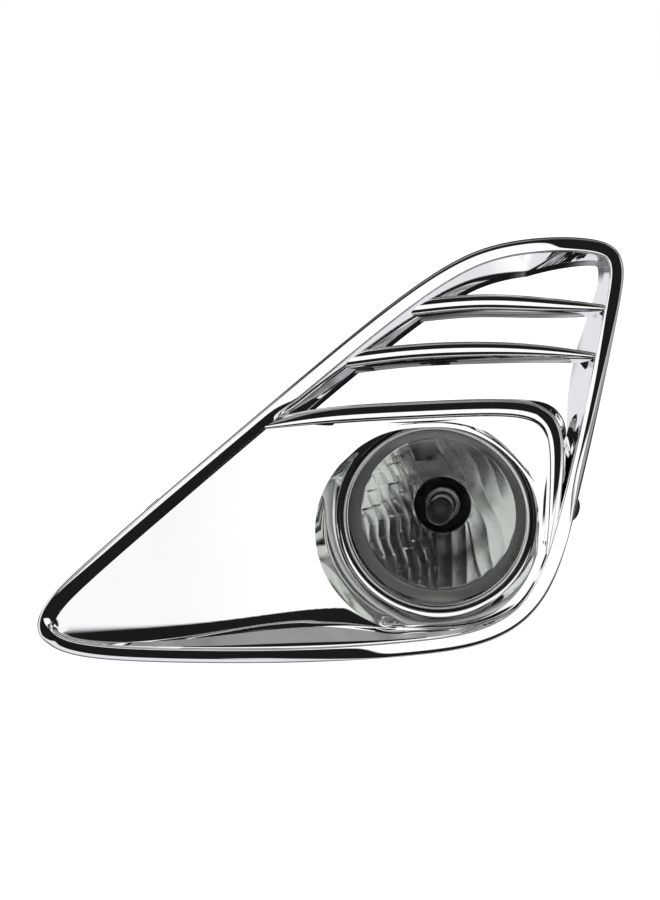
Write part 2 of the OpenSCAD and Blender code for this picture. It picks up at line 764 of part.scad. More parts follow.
module bulb_base() {
    color([0.12, 0.12, 0.13])
        difference() {
            union() {
                turned([
                    [0, 35], [base_r - 0.6, 35], [base_r, 35.6], [base_r, 45], [neck_r, 46.4],
                    [neck_r, groove_start], [groove_r, groove_start], [groove_r, groove_end],
                    [neck_r, groove_end], [neck_r, knob_start], [knob_r, knob_start],
                    [knob_r, knob_start + knob_t], [12, knob_start + knob_t], [12, plug_start + 1],
                    [0, plug_start + 1]
                ]);
                for (angle = [0, 120, 240])
                    turned_by(angle) at_depth(46.8) translate([0, 0, -3.5]) cube([14, 2.8, 7]);
                at_depth(plug_start) translate([-plug_size.x / 2, 0, socket_end])
                    cube([plug_size.x, plug_size.y, 10 - socket_end]);
                // Latch ramp for the plug.
                at_depth(plug_start + plug_size.y) translate([-3, 0, socket_end + 4]) rotate([0, 90, 0])
                    linear_extrude(6) polygon([[0, -1], [-6, -1], [-6, 1.8], [0, 0.4]]);
            }
            at_depth(plug_start + plug_wall) translate([-plug_size.x / 2 + plug_wall, 0, socket_end - 1])
                cube([plug_size.x - 2 * plug_wall, plug_size.y - 2 * plug_wall, 17]);
            rod(bulb_r, 34, 38);
            // Finger grips round the knob.
            for (angle = [10 : 20 : 350])
                turned_by(angle) rod(1, knob_start - 0.2, knob_start + knob_t + 0.2, x = knob_r + 0.4);
        }
}

module bulb_seal() {
    section_r = 0.55;
    color([0.45, 0.16, 0.1])
        at_depth((groove_start + groove_end) / 2) rotate([-90, 0, 0]) rotate_extrude()
            translate([groove_r + section_r, 0]) circle(r = section_r, $fn = 24);
}

module bulb_terminals() {
    blade_t = 0.8;
    color("gold")
        for (x = [-3.4, 3.4])
            at_depth(plug_start + plug_size.y / 2 - 1.4) translate([x - blade_t / 2, 0, socket_end + 4])
                cube([blade_t, 2.8, 14]);
}

// Outline of the bulb's rounded end, grown outwards by g.
function bulb_end(g) = [
    for (angle = [-90 : 15 : 0])
        [(bulb_r + g) * cos(angle), tip_depth + 4 + (4 + g) * sin(angle)]
];

module bulb_glass() {
    glass_t = 0.9;
    color("lightcyan", 0.4)
        turned(concat(bulb_end(0), [[bulb_r, 38], [0, 38], [0, 36.5], [bulb_r - glass_t, 36.5]],
            [for (k = [6 : -1 : 0]) bulb_end(-glass_t)[k]]));
}

// Dark coating on the bulb's end, which keeps direct light from dazzling.
module bulb_tip() {
    coat_t = 0.3;
    color([0.1, 0.1, 0.1])
        turned(concat(bulb_end(coat_t), [[bulb_r + coat_t, 18.6], [bulb_r, 18.6]],
            [for (k = [6 : -1 : 0]) bulb_end(0)[k]]));
}

module bulb_filament() {
    wire_r = 0.35;
    coil_r = 0.8;
    coil_half = 2.3;
    color("darkgray") {
        rod(coil_r, focus_depth - coil_half, focus_depth + coil_half);
        for (x = [-2.4, 2.4])
            rod(wire_r, focus_depth + (x < 0 ? -coil_half : coil_half), 36.4, x = x);
        at_depth(focus_depth - coil_half) translate([-2.4, 0, 0]) rotate([0, 90, 0])
            cylinder(r = wire_r, h = 2.4);
        at_depth(focus_depth + coil_half) rotate([0, 90, 0]) cylinder(r = wire_r, h = 2.4);
    }
}

bezel_rim();
bezel_panel();
louver_cell_wall();
louver_upper();
louver_lower();
brow_louver();
snap_tabs();
spring_clips();
screw_bosses();
bracket_screws();
lamp_bracket();
ear_sleeves();
pivot_bushes();
lamp_housing();
pivot_pins();
vent_boot();
reflector();
lens();
lens_seal();
adjuster_screw();
adjuster_retainer();
adjuster_nut();
bulb_base();
bulb_seal();
bulb_terminals();
bulb_glass();
bulb_tip();
bulb_filament();
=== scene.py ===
import math

import bmesh
import bpy
import numpy as np
from mathutils import Matrix, Vector


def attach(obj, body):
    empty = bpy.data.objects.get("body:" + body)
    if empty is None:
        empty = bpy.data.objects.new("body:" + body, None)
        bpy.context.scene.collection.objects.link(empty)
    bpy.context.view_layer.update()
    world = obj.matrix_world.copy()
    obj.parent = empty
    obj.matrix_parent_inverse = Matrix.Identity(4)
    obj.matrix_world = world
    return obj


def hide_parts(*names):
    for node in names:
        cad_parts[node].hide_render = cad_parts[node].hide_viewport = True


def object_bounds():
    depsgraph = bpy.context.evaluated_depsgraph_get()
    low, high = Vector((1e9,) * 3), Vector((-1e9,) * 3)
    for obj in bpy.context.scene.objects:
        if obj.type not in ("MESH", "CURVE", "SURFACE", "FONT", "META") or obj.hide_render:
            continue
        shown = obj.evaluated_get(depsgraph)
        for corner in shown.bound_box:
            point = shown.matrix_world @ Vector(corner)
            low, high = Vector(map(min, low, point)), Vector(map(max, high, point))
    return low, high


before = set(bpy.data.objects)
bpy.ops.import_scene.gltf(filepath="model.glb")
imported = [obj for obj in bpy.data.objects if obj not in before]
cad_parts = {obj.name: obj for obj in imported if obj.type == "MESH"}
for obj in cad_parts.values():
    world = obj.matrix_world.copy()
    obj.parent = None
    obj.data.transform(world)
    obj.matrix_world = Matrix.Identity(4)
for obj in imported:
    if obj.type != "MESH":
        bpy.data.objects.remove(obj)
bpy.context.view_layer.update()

# Lengths are in millimetres, unless a comment says metres.
MM = 0.001

# ---------------------------------------------------------------- the bezel's frame
# How far the bezel's face leans back and turns away from the lamp's axis.
FACE_LEAN = math.radians(11)
FACE_TURN = math.radians(7)
# Depth of the bumper ears' rear plane behind the lens rim. The row's origin lies on that plane.
EAR_DEPTH = 38.0
BEZEL_AXES = np.array(Matrix.Rotation(FACE_TURN, 3, "Z") @ Matrix.Rotation(-FACE_LEAN, 3, "X"))

# Walls of the bezel: their thickness, the bead's width and the depths of its skirt and louver cell.
SHELL_T = 2.2
BEAD_W = 7.4
SKIRT_DEPTH = 14.0
CELL_DEPTH = 20.0
# The face's crown: how far forward it stands, at which [x, z], and how fast it falls back along x and z.
FACE_FRONT = 20.0
CROWN_CENTRE = (-50, 20)
CROWN_FALL = (0.001, 0.0006)
# Left of TIP_START the face falls back faster.
TIP_START = -180
TIP_FALL = 0.02
# Radii of the lens and of the bowl's lip round it, and where the collar behind the lip ends.
LENS_R = 44.75
LIP_R = 46.8
COLLAR_END = 13.0

# Control points [x, z] of the outline, from the left tip over the top and back along the bottom.
OUTLINE = np.array([
    (-194, -53), (-189, -41), (-178, -29), (-140, 4), (-80, 55), (-36, 92), (-9, 113), (15, 128),
    (37, 134), (60, 136), (78, 135), (88, 131), (92, 121), (89, 104), (80, 60), (66, 0),
    (58, -28), (45, -49), (22, -61), (-8, -65), (-60, -69), (-140, -69), (-172, -67), (-187, -62),
], float)
# Outline positions where the brow starts and ends.
BROW_START = 4.0
BROW_END = 15 + 2 / 3
# Centre lines of the brow and of the two blades.
BROW = np.array([
    (-82, 45), (-54, 50), (-12, 52), (30, 54), (47, 52), (56, 45), (58, 32), (57, 13), (56, -2), (54, -17),
], float)
LOUVER_UPPER = np.array([(-13, 100), (20, 104), (54, 102), (82, 101)], float)
LOUVER_LOWER = np.array([(-45, 75), (-10, 80), (40, 81), (76, 78)], float)
# The ridge where the panel turns into the bowl: an ellipse this far behind the face.
BOWL_CENTRE = np.array([-3.8, -5.3])
BOWL_RADII = np.array([54.2, 50.4])
RIDGE_DEPTH = 3.0
# Step along a curve over which its direction is measured.
NORMAL_STEP = 0.02


def to_row(points):
    """Points of the bezel's frame, in millimetres, in the row frame, in metres."""
    return (np.asarray(points, float) @ BEZEL_AXES.T + (0, -EAR_DEPTH, 0)) * MM


def lamp_row(points):
    """[x, depth behind the lens rim, z] in millimetres, in the row frame, in metres."""
    return (np.asarray(points, float) - (0, EAR_DEPTH, 0)) * MM


def lamp_to_bezel(points):
    """[x, depth behind the lens rim, z] of the lamp, in the bezel's frame, in millimetres."""
    return np.asarray(points, float) @ BEZEL_AXES


# ---------------------------------------------------------------- curves
def spline_span(a, b, c, d, t):
    t = t[:, None]
    return (
        (1 - t) ** 3 * a + (3 * t**3 - 6 * t * t + 4) * b
        + (-3 * t**3 + 3 * t * t + 3 * t + 1) * c + t**3 * d
    ) / 6


def closed_spline(ctrl, t):
    t = np.asarray(t, float)
    n = len(ctrl)
    k = np.floor(t).astype(int)
    return spline_span(*(ctrl[(k + step) % n] for step in (-1, 0, 1, 2)), t - k)


def open_spline(ctrl, t):
    t = np.asarray(t, float)
    n = len(ctrl)
    q = np.vstack([2 * ctrl[0] - ctrl[1], ctrl, 2 * ctrl[-1] - ctrl[-2]])
    k = np.minimum(np.floor(t).astype(int), n - 2)
    return spline_span(q[k], q[k + 1], q[k + 2], q[k + 3], t - k)


def spline_weights(count, samples):
    """Weights that turn count control points into samples points of their open spline."""
    return open_spline(np.eye(count), np.linspace(0, count - 1, samples))


def unit(v):
    return v / np.maximum(np.linalg.norm(v, axis=-1, keepdims=True), 1e-9)


def turned_right(v):
    return np.stack([v[..., 1], -v[..., 0]], axis=-1)


def outline_normal(t):
    ahead = closed_spline(OUTLINE, t + NORMAL_STEP)
    return unit(turned_right(ahead - closed_spline(OUTLINE, t - NORMAL_STEP)))


def brow_normal(t):
    ahead = open_spline(BROW, np.minimum(len(BROW) - 1, t + NORMAL_STEP))
    return unit(turned_right(ahead - open_spline(BROW, np.maximum(0, t - NORMAL_STEP))))


def face_y(p):
    """The crowned face that the bead follows. It falls back further at the left tip."""
    x, z = p[..., 0], p[..., 1]
    crown = CROWN_FALL[0] * (x - CROWN_CENTRE[0]) ** 2 + CROWN_FALL[1] * (z - CROWN_CENTRE[1]) ** 2
    return crown - FACE_FRONT + TIP_FALL * np.maximum(0, TIP_START - x) ** 2


def smooth(x, low, high):
    """0 below low, 1 over high, with a smooth change between."""
    s = np.clip((x - low) / (high - low), 0, 1)
    return s * s * (3 - 2 * s)


def stretch(position, rise, fall):
    """1 along a stretch of a curve, with a smooth change at each end."""
    return smooth(position, *rise) * (1 - smooth(position, *fall))


def offset_points(edge, normal, u, v):
    """Points u along the normal and v behind the face, one row for each edge point."""
    u, v = np.broadcast_arrays(np.asarray(u, float), np.asarray(v, float))
    if u.ndim == 1:
        u, v = np.tile(u, (len(edge), 1)), np.tile(v, (len(edge), 1))
    flat = edge[:, None, :] + u[..., None] * normal[:, None, :]
    return np.stack([flat[..., 0], face_y(flat) + v, flat[..., 1]], axis=-1)


def rim_points(t, u, v):
    return offset_points(closed_spline(OUTLINE, t), outline_normal(t), u, v)


def brow_size(t):
    """The share of its section's width that the brow has at each position. It narrows to both ends."""
    right = 0.5 * (np.maximum(0, t - 4.5) / 4.5) ** 1.5
    left = 0.5 * (np.maximum(0, 1.5 - t) / 1.5) ** 2
    return 1 - right - left


def brow_points(t, u, v):
    u = np.asarray(u, float)
    size = brow_size(t)[:, None]
    return offset_points(open_spline(BROW, t), brow_normal(t), u * size, np.tile(v, (len(t), 1)))


# ---------------------------------------------------------------- meshes
def grid_faces(rows, columns, closed_rows, closed_columns):
    faces = []
    for i in range(rows if closed_rows else rows - 1):
        a, b = i * columns, (i + 1) % rows * columns
        for j in range(columns if closed_columns else columns - 1):
            k = (j + 1) % columns
            faces.append((a + j, b + j, b + k, a + k))
    return faces


def make_object(name, verts, faces, material, sharp=38):
    """A mesh object whose faces look outwards, shaded smooth but for edges over the sharp angle."""
    mesh = bpy.data.meshes.new(name)
    mesh.from_pydata([tuple(v) for v in verts], [], faces)
    bm = bmesh.new()
    bm.from_mesh(mesh)
    bmesh.ops.recalc_face_normals(bm, faces=bm.faces)
    bm.to_mesh(mesh)
    bm.free()
    mesh.shade_smooth()
    mesh.set_sharp_from_angle(angle=math.radians(sharp))
    mesh.materials.append(material)
    obj = bpy.data.objects.new(name, mesh)
    bpy.context.scene.collection.objects.link(obj)
    return obj


def ring_solid(name, rings, material, closed, sharp=38):
    """A solid over rings of equal length, whose ends are closed where the rings don't meet."""
    n, m = rings.shape[:2]
    faces = grid_faces(n, m, closed, True)
    if not closed:
        half = m // 2
        for end in (0, n - 1):
            for j in range(half - 1):
                a, b = end * m + j, end * m + j + 1
                c, d = end * m + m - 2 - j, end * m + m - 1 - j
                faces.append((a, b, c, d) if end == 0 else (a, d, c, b))
    return make_object(name, rings.reshape(-1, 3), faces, material, sharp)


def thickened(grid, thickness, closed):
    """Rings that run along the grid's front and back along a rear face, thickness behind it."""
    before = np.roll(grid, 1, axis=0)
    after = np.roll(grid, -1, axis=0)
    if not closed:
        before[0], after[-1] = grid[0], grid[-1]
    across = np.gradient(grid, axis=1)
    rear = grid + thickness * unit(np.cross(after - before, across))
    return np.concatenate([grid, rear[:, ::-1]], axis=1)


TURN_SEGMENTS = 144


def turned_solid(name, profile, material):
    """A solid of revolution about the optical axis from a closed line of [radius, depth] points."""
    profile = np.asarray(profile, float)
    angles = np.linspace(0, 2 * math.pi, TURN_SEGMENTS, endpoint=False)
    radius, depth = profile[:, 0], profile[:, 1]
    rings = np.stack([
        np.outer(np.cos(angles), radius),
        np.tile(depth, (TURN_SEGMENTS, 1)),
        np.outer(np.sin(angles), radius),
    ], axis=-1)
    faces = grid_faces(*rings.shape[:2], True, True)
    obj = make_object(name, lamp_row(rings.reshape(-1, 3)), faces, material)
    weld(obj)
    return obj


# Points closer than this, in metres, become one.
WELD_DISTANCE = 1e-7


def weld(obj):
    """Joins the points that a profile on the axis brings together."""
    bm = bmesh.new()
    bm.from_mesh(obj.data)
    bmesh.ops.remove_doubles(bm, verts=bm.verts, dist=WELD_DISTANCE)
    bmesh.ops.dissolve_degenerate(bm, edges=bm.edges, dist=WELD_DISTANCE)
    bmesh.ops.recalc_face_normals(bm, faces=bm.faces)
    bm.to_mesh(obj.data)
    bm.free()


def fit(obj, body, slot, *nodes):
    """Puts a piece on its body and hides the CAD nodes that it stands for. The slot argument is not used."""
    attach(obj, body)
    if nodes:
        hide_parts(*nodes)
    return obj


# ---------------------------------------------------------------- materials
def new_material(name):
    material = bpy.data.materials.new(name)
    material.use_nodes = True
    tree = material.node_tree
    return material, tree, tree.nodes["Principled BSDF"]


def add_node(tree, kind, inputs=None, **settings):
    node = tree.nodes.new(kind)
    for key, value in settings.items():
        setattr(node, key, value)
    for key, value in (inputs or {}).items():
        if isinstance(value, bpy.types.NodeSocket):
            tree.links.new(value, node.inputs[key])
        else:
            node.inputs[key].default_value = value
    return node


def noise(tree, scale, detail=3.0):
    coords = add_node(tree, "ShaderNodeTexCoord")
    return add_node(tree, "ShaderNodeTexNoise", {
        "Vector": coords.outputs["Object"], "Scale": scale, "Detail": detail, "Roughness": 0.55,
    }).outputs["Fac"]


def remap(tree, value, low, high, start=0.3, end=0.7):
    """Turns a value from start to end into one from low to high."""
    return add_node(tree, "ShaderNodeMapRange", {
        "Value": value, "From Min": start, "From Max": end, "To Min": low, "To Max": high,
    }).outputs["Result"]


def varied_colour(tree, value, dark, light):
    ramp = add_node(tree, "ShaderNodeValToRGB", {"Fac": value})
    ramp.color_ramp.elements[0].position = 0.35
    ramp.color_ramp.elements[0].color = (*dark, 1)
    ramp.color_ramp.elements[1].position = 0.65
    ramp.color_ramp.elements[1].color = (*light, 1)
    return ramp.outputs["Color"]


def fine_relief(tree, shader, height, bump_mm):
    bump = add_node(tree, "ShaderNodeBump", {"Height": height, "Strength": 1.0, "Distance": bump_mm * MM})
    tree.links.new(bump.outputs["Normal"], shader.inputs["Normal"])


def surface(name, dark, light, metallic, rough, grain, bump_mm, colour_scale):
    """A material whose colour, roughness and fine relief vary over the surface."""
    material, tree, shader = new_material(name)
    patches = noise(tree, colour_scale)
    fine = noise(tree, grain, 4.0)
    shader.inputs["Metallic"].default_value = metallic
    tree.links.new(varied_colour(tree, patches, dark, light), shader.inputs["Base Color"])
    tree.links.new(remap(tree, fine, *rough), shader.inputs["Roughness"])
    fine_relief(tree, shader, fine, bump_mm)
    return material


def glass(name, tint, roughness, grain, bump_mm):
    """Clear glass whose tint, roughness and relief vary a little."""
    material, tree, shader = new_material(name)
    shader.inputs["Transmission Weight"].default_value = 1.0
    shader.inputs["IOR"].default_value = 1.5
    fine = noise(tree, grain)
    light = tuple(min(1, c * 1.02) for c in tint)
    tree.links.new(varied_colour(tree, fine, tint, light), shader.inputs["Base Color"])
    tree.links.new(remap(tree, fine, 0.0, roughness), shader.inputs["Roughness"])
    fine_relief(tree, shader, fine, bump_mm)
    return material


CHROME = surface(
    "chrome_plating", (0.95, 0.955, 0.965), (0.97, 0.975, 0.98),
    1.0, (0.015, 0.035), 900, 0.0004, 20,
)
CHROME_BACK = surface(
    "plated_back", (0.42, 0.43, 0.45), (0.55, 0.56, 0.58),
    1.0, (0.3, 0.45), 1500, 0.01, 40,
)
MIRROR = surface(
    "reflector_mirror", (0.80, 0.815, 0.795), (0.87, 0.885, 0.865),
    1.0, (0.13, 0.19), 300, 0.002, 25,
)
FLANGE_GREY = surface(
    "reflector_flange", (0.44, 0.47, 0.445), (0.52, 0.55, 0.525),
    0.2, (0.3, 0.42), 700, 0.01, 30,
)
# Near-white colour for the ring at the lens's edge: a painted highlight of the glass's rounded edge.
LENS_EDGE_HIGHLIGHT = surface("lens_edge_highlight", (0.86, 0.89, 0.87), (0.93, 0.95, 0.94), 0.1, (0.18, 0.3), 900, 0.004, 60)
BLACK_PLASTIC = surface(
    "black_plastic", (0.016, 0.016, 0.017), (0.03, 0.03, 0.032),
    0.0, (0.42, 0.6), 2500, 0.03, 80,
)
HOUSING_PLASTIC = surface(
    "housing_plastic", (0.028, 0.028, 0.03), (0.045, 0.045, 0.048),
    0.0, (0.38, 0.55), 2200, 0.03, 70,
)
BULB_PLASTIC = surface(
    "bulb_plastic", (0.045, 0.045, 0.05), (0.07, 0.07, 0.075),
    0.0, (0.35, 0.5), 2600, 0.02, 90,
)
RUBBER = surface(
    "black_rubber", (0.012, 0.012, 0.012), (0.022, 0.022, 0.022),
    0.0, (0.6, 0.8), 1800, 0.02, 90,
)
SEAL_RED = surface("seal_rubber", (0.24, 0.06, 0.03), (0.34, 0.1, 0.055), 0.0, (0.5, 0.65), 1800, 0.01, 90)
STEEL = surface("plated_steel", (0.5, 0.5, 0.5), (0.66, 0.65, 0.63), 1.0, (0.22, 0.38), 1200, 0.004, 120)
SPRING = surface("spring_steel", (0.28, 0.28, 0.3), (0.42, 0.42, 0.44), 1.0, (0.25, 0.4), 1400, 0.006, 90)
ZINC = surface("zinc_yellow", (0.5, 0.38, 0.16), (0.72, 0.6, 0.3), 1.0, (0.25, 0.4), 1200, 0.004, 140)
NYLON = surface("natural_nylon", (0.72, 0.7, 0.62), (0.82, 0.8, 0.73), 0.0, (0.4, 0.55), 1400, 0.01, 70)
BRASS = surface("terminal_brass", (0.62, 0.46, 0.2), (0.78, 0.6, 0.28), 1.0, (0.2, 0.35), 1600, 0.004, 160)
TIP_COAT = surface(
    "tip_coating", (0.05, 0.05, 0.052), (0.08, 0.08, 0.083),
    0.0, (0.3, 0.42), 1500, 0.006, 150,
)
FILAMENT = surface("filament_wire", (0.2, 0.2, 0.21), (0.34, 0.34, 0.36), 1.0, (0.3, 0.45), 2500, 0.002, 300)
LENS_GLASS = glass("lens_glass", (0.95, 0.965, 0.95), 0.02, 120, 0.002)
BULB_GLASS = glass("bulb_glass", (0.96, 0.97, 0.96), 0.02, 250, 0.001)

# ---------------------------------------------------------------- bezel rim
# Fronts of the rim's section, all with 11 control points: [distance inside the outline, depth behind the
# face]. Flat faces look ahead, the inward and tip ones lean towards the panel and the outward one away.
BEAD_FLAT = [
    (0, 14), (0, 8), (0, 3), (0.05, 0.4), (0.5, -1.0), (1.5, -1.4),
    (4.4, -1.5), (6.3, -1.45), (7.2, -1.2), (7.4, 0.0), (7.4, 1.6),
]
BEAD_INWARD = [
    (0, 14), (0, 8), (0, 3), (0.1, 0.6), (0.6, -0.9), (1.3, -1.4),
    (3.4, -1.35), (4.6, -0.75), (5.6, -0.1), (6.5, 0.5), (7.4, 1.1),
]
BEAD_TIP = [
    (0, 14), (0, 8), (0, 3), (0.1, 0.6), (0.6, -0.9), (1.3, -1.5),
    (2.4, -1.1), (3.8, -0.3), (5.2, 0.4), (6.5, 1.0), (7.4, 1.6),
]
BEAD_OUTWARD = [
    (0, 14), (0, 8), (0, 5.0), (0.3, 3.4), (1.6, 1.4), (2.4, 0.7),
    (4.2, -0.3), (5.6, -1.0), (6.6, -1.3), (7.1, -0.6), (7.4, 1.6),
]
BEAD_CORNER = [
    (0, 14), (0, 8), (0, 3), (0.05, 1.4), (0.35, 0.5), (1.5, 0.15),
    (3.2, -0.3), (4.7, -0.65), (6.0, -0.95), (7.0, -0.9), (7.4, 1.6),
]
BEAD_DOME = [
    (0, 14), (0, 8), (0, 3), (0.3, 0.8), (1.4, -0.4), (2.9, -1.1),
    (4.3, -1.5), (5.7, -1.5), (6.7, -1.2), (7.3, 0.0), (7.4, 1.6),
]
BEAD_CRISP = [
    (0, 14), (0, 8), (0, 3), (0.02, 0.4), (0.25, -1.2), (0.7, -1.58),
    (3.4, -1.5), (6.3, -1.36), (7.2, -1.15), (7.4, 0.0), (7.4, 1.6),
]
BEAD_BACK = [
    (BEAD_W - 1, 3.2), (5, 2.6), (3.8, 2.6), (2.6, 3.6), (SHELL_T, 6), (SHELL_T, 9),
    (SHELL_T, SKIRT_DEPTH),
]
# Each shape with the outline positions over which it comes in and goes out. The flat one fills the rest.
# At the tip the positions are negative before it.
TIP_STRETCHES = [
    (BEAD_TIP, (-0.4, 0.9), (1.0, 2.4)),
    (BEAD_INWARD, (1.0, 2.4), (4.0, 4.25)),
]
RIM_STRETCHES = [
    (BEAD_OUTWARD, (19.2, 20.3), (22.9, 23.7)),
    (BEAD_CORNER, (8.3, 9.6), (12.8, 14.4)),
    (BEAD_DOME, (12.8, 14.4), (14.6, 15.4)),
    (BEAD_CRISP, (14.6, 15.4), (19.2, 20.3)),
]
# Rings for each control point of the outline, and points along the front of each ring.
RIM_SAMPLES = 16
BEAD_SAMPLES = 44


def rim_sections(t):
    """The rim's front section at each outline position, mixed from the seven shapes."""
    from_tip = np.where(t > len(OUTLINE) / 2, t - len(OUTLINE), t)
    mix = [(shape, stretch(from_tip, rise, fall)) for shape, rise, fall in TIP_STRETCHES]
    mix += [(shape, stretch(t, rise, fall)) for shape, rise, fall in RIM_STRETCHES]
    flat = np.clip(1 - sum(weight for _, weight in mix), 0, 1)
    return sum(
        weight[:, None, None] * np.array(shape, float) for shape, weight in [(BEAD_FLAT, flat)] + mix
    )


def build_rim():
    t = np.arange(len(OUTLINE) * RIM_SAMPLES) / RIM_SAMPLES
    front = np.einsum("sk,nkc->nsc", spline_weights(len(BEAD_FLAT), BEAD_SAMPLES), rim_sections(t))
    back = np.tile(np.array(BEAD_BACK, float), (len(t), 1, 1))
    section = np.concatenate([front, back], axis=1)
    rings = rim_points(t, section[..., 0], section[..., 1])
    obj = ring_solid("bezel_rim_chrome", to_row(rings), CHROME, True)
    return fit(obj, "bezel_and_bracket", "bezel_chrome", "bezel_rim")


# ---------------------------------------------------------------- panel and bowl
# Width and depth of the panel's step at the bead, and what the ledge at the bottom adds to them. The
# ledge is widest at x = LEDGE_CENTRE and dies out over LEDGE_REACH.
STEP_SIZE = (0.9, 1.5)
LEDGE_SIZE = (8.7, 4.1)
LEDGE_CENTRE = -62
LEDGE_REACH = 58
STEP_SAMPLES = 9
RIM_FOOT_SAMPLES = 200
BROW_FOOT_SAMPLES = 110
# Where the panel meets the brow: [distance from the brow's line towards the lamp, depth behind the face].
BROW_FOOT = [(3, 3.0), (4, 3.3), (5.2, 3.4)]
# How far the rounding at the foot of the step reaches over the panel.
FILLET_REACH = 28.0
# The ridge keeps at least RIDGE_GAP from the foot, and RIDGE_BLEND sets how sharply it gives way.
RIDGE_GAP = 2.0
RIDGE_BLEND = 30.0
# Width of the land round the lip. Half way down, the bowl's wall bulges by a quarter of BOWL_BULGE times
# its depth, or of BULGE_MOST where that is less.
LAND_W = 1.3
BOWL_BULGE = 0.6
BULGE_MOST = 7


def ridge_points(edge, foot):
    """Points of the ridge round the bowl, towards the edge, and at least RIDGE_GAP inside the foot."""
    away = np.linalg.norm(foot[..., [0, 2]] - BOWL_CENTRE, axis=-1)
    out = (edge - BOWL_CENTRE) / BOWL_RADII
    angle = np.arctan2(out[..., 1], out[..., 0])
    ring = np.stack([BOWL_RADII[0] * np.cos(angle), BOWL_RADII[1] * np.sin(angle)], axis=-1)
    room = (away - RIDGE_GAP) / np.linalg.norm(ring, axis=-1)
    share = -np.log(np.exp(-RIDGE_BLEND) + np.exp(-RIDGE_BLEND * room)) / RIDGE_BLEND
    q = BOWL_CENTRE + ring * share[..., None]
    return np.stack([q[..., 0], face_y(q) + RIDGE_DEPTH, q[..., 1]], axis=-1)


def lip_points(edge, depth, radius):
    """Points of a ring round the lens, towards the edge."""
    out = edge - BOWL_CENTRE
    angle = np.arctan2(out[..., 1], out[..., 0])
    depths = np.full(angle.shape, float(depth))
    return lamp_to_bezel(np.stack([radius * np.cos(angle), depths, radius * np.sin(angle)], axis=-1))


def panel_steps():
    """Points from the bead down to the foot of the panel, all round, and the edge points they start from."""
    span = len(OUTLINE) - BROW_END + BROW_START
    t = (BROW_END + np.linspace(0, span, RIM_FOOT_SAMPLES)) % len(OUTLINE)
    edge, normal = closed_spline(OUTLINE, t), outline_normal(t)
    along = (edge[:, 0] - LEDGE_CENTRE) / LEDGE_REACH
    swell = np.maximum(0, normal[:, 1]) ** 3 * np.exp(-(along**2))
    width, depth = (STEP_SIZE[k] + LEDGE_SIZE[k] * swell for k in (0, 1))
    share = np.linspace(0, 1, STEP_SAMPLES)
    u = np.concatenate([np.full((len(t), 1), BEAD_W - 0.7), BEAD_W + np.outer(width, share)], axis=1)
    v = np.concatenate([np.full((len(t), 1), 1.7), 1.5 + np.outer(depth, share)], axis=1)
    v[:, 1] = 1.8
    rim = rim_points(t, u, v)
    t = np.linspace(1, len(BROW) - 1.4, BROW_FOOT_SAMPLES)
    curve = spline_weights(len(BROW_FOOT), STEP_SAMPLES + 1) @ np.array(BROW_FOOT)
    rows = np.concatenate([rim, brow_points(t, curve[:, 0], curve[:, 1])])
    return rows, np.concatenate([edge, open_spline(BROW, t)])


def build_panel():
    """The panel from the bead to the ridge, the bowl from the ridge to its lip, and the collar behind it."""
    steps, edge = panel_steps()
    foot = steps[:, -1]
    ridge = ridge_points(edge, foot)
    lip = lip_points(edge, 1.6, LIP_R + LAND_W)
    lamp_axis = lamp_to_bezel(np.array([[0, 1, 0]]))[0]
    bulge = np.clip(BOWL_BULGE * (lip[:, 1] - ridge[:, 1]), 0, BULGE_MOST)
    way = np.linalg.norm(ridge - foot, axis=1)
    reach = np.minimum(FILLET_REACH, way)
    drop = foot[:, 1] - face_y(foot[:, [0, 2]]) - RIDGE_DEPTH
    columns = []
    for s in np.concatenate([np.linspace(0.02, 0.2, 8), np.linspace(0.24, 0.97, 20)]):
        flat = foot + s * (ridge - foot)
        rise = np.maximum(0, 1 - s * way / reach) ** 2
        columns.append(np.stack([
            flat[:, 0], face_y(flat[:, [0, 2]]) + RIDGE_DEPTH + rise * drop, flat[:, 2],
        ], axis=-1))
    for s in np.concatenate([[0, 0.03, 0.07], np.linspace(0.12, 1, 14)]):
        point = ridge + s * (lip - ridge)
        point += s * (1 - s) * bulge[:, None] * lamp_axis
        columns.append(point)
    collar = [(LIP_R + 0.35, 1.7), (LIP_R + 0.08, 1.85), (LIP_R, 2.2), (LIP_R, 4), (LIP_R, COLLAR_END)]
    for radius, depth in collar:
        columns.append(lip_points(edge, depth, radius))
    grid = np.concatenate([steps, np.stack(columns, axis=1)], axis=1)
    rings = thickened(grid, SHELL_T, True)
    for k, (radius, depth) in enumerate(reversed([(LIP_R, 1.6)] + collar)):
        rings[:, grid.shape[1] + k] = lip_points(edge, max(depth, 3.8), LIP_R + SHELL_T)
    obj = ring_solid("bezel_panel_chrome", to_row(rings), CHROME, True, 30)
    return fit(obj, "bezel_and_bracket", "bezel_chrome", "bezel_panel")


# ---------------------------------------------------------------- louver cell and blades
CELL_SAMPLES = 190
# How far the cell's wall leans in from the bead to its bend, and what is added along the top edge.
CELL_LEAN = (2, 6)
# How far it leans in further from the bend to its foot, and what is added low on the right side.
CELL_TOE = (2, 8)
# Outline positions over which the wall turns nearly upright to clear the lamp, and how much shallower it
# gets there.
BESIDE_LAMP = (13.4, 15.0)
LAMP_RECESS = 9


